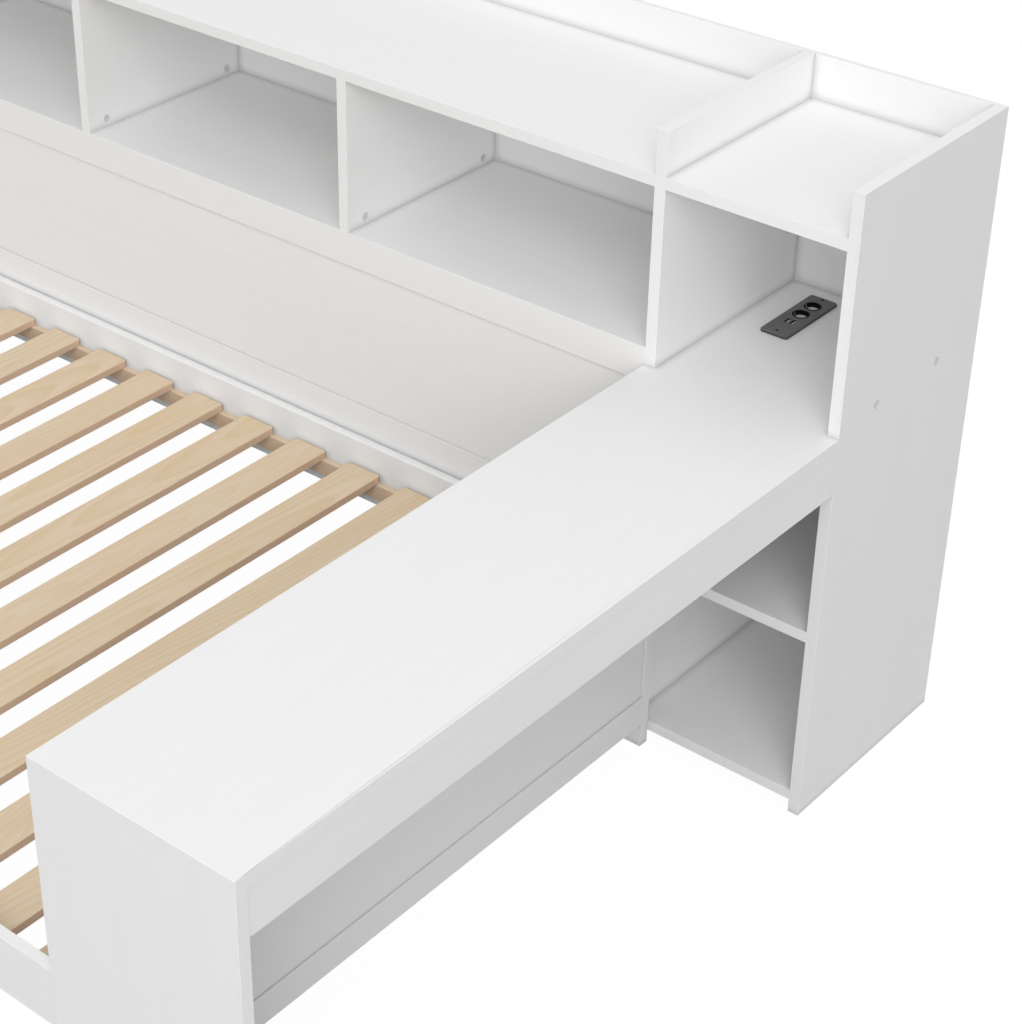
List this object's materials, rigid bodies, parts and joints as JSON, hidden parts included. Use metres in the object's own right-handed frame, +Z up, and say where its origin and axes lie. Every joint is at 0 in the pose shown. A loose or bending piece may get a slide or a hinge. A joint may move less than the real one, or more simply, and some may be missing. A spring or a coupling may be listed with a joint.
{
  "type": "bed with desk",
  "caption": "Single bed with a slatted base, a desk across the foot end, a corner shelf tower with a power plate and an open bookcase along one long side.",
  "frame": {"origin": "middle of the bounding box's bottom face, on the floor under the bed", "axes": "+X along the bed to the desk at its foot, +Y across the bed to the bookcase, +Z up"},
  "size_m": [2.193, 1.356, 0.9],
  "materials": {
    "white_laminate": "satin white laminate on particle board, faint wood-grain emboss",
    "slat_wood": "sanded, unvarnished softwood",
    "dark_plastic": "fine-textured dark grey moulding",
    "pale_plastic": "smooth pale grey moulding",
    "black_screw": "black oxide",
    "zinc": "dull zinc die casting"
  },
  "bodies": {
    "root": {"back_frame_lower_rail": "white_laminate", "back_frame_panel": "white_laminate", "back_frame_upper_rail": "white_laminate", "bookcase_back": "white_laminate", "bookcase_divider_1": "white_laminate", "bookcase_divider_2": "white_laminate", "bookcase_divider_3": "white_laminate", "bookcase_end_side": "white_laminate", "bookcase_floor": "white_laminate", "bookcase_top": "white_laminate", "bookcase_upright_1": "white_laminate", "bookcase_upright_2": "white_laminate", "cam_bolts": "zinc", "cam_discs": "zinc", "desk_apron": "white_laminate", "desk_end_panel": "white_laminate", "desk_top": "white_laminate", "foot_lower_rail": "white_laminate", "foot_panel": "white_laminate", "foot_post": "white_laminate", "foot_upper_rail": "white_laminate", "head_front_post": "white_laminate", "head_lower_rail": "white_laminate", "head_panel": "white_laminate", "head_rear_post": "white_laminate", "head_upper_rail": "white_laminate", "plate_screws": "black_screw", "side_rail_front": "white_laminate", "side_rail_rear": "white_laminate", "slat_01": "slat_wood", "slat_02": "slat_wood", "slat_03": "slat_wood", "slat_04": "slat_wood", "slat_05": "slat_wood", "slat_06": "slat_wood", "slat_07": "slat_wood", "slat_08": "slat_wood", "slat_09": "slat_wood", "slat_10": "slat_wood", "slat_11": "slat_wood", "slat_12": "slat_wood", "slat_13": "slat_wood", "slat_14": "slat_wood", "slat_15": "slat_wood", "slat_16": "slat_wood", "slat_17": "slat_wood", "slat_18": "slat_wood", "slat_ledger_front": "slat_wood", "slat_ledger_rear": "slat_wood", "socket_housing": "dark_plastic", "socket_inserts": "pale_plastic", "socket_plate": "dark_plastic", "tower_back": "white_laminate", "tower_bottom_shelf": "white_laminate", "tower_lower_side_left": "white_laminate", "tower_lower_side_right": "white_laminate", "tower_middle_shelf": "white_laminate", "tower_top_shelf": "white_laminate", "tower_upper_side_left": "white_laminate", "tower_upper_side_right": "white_laminate"}
  },
  "joints": []
}
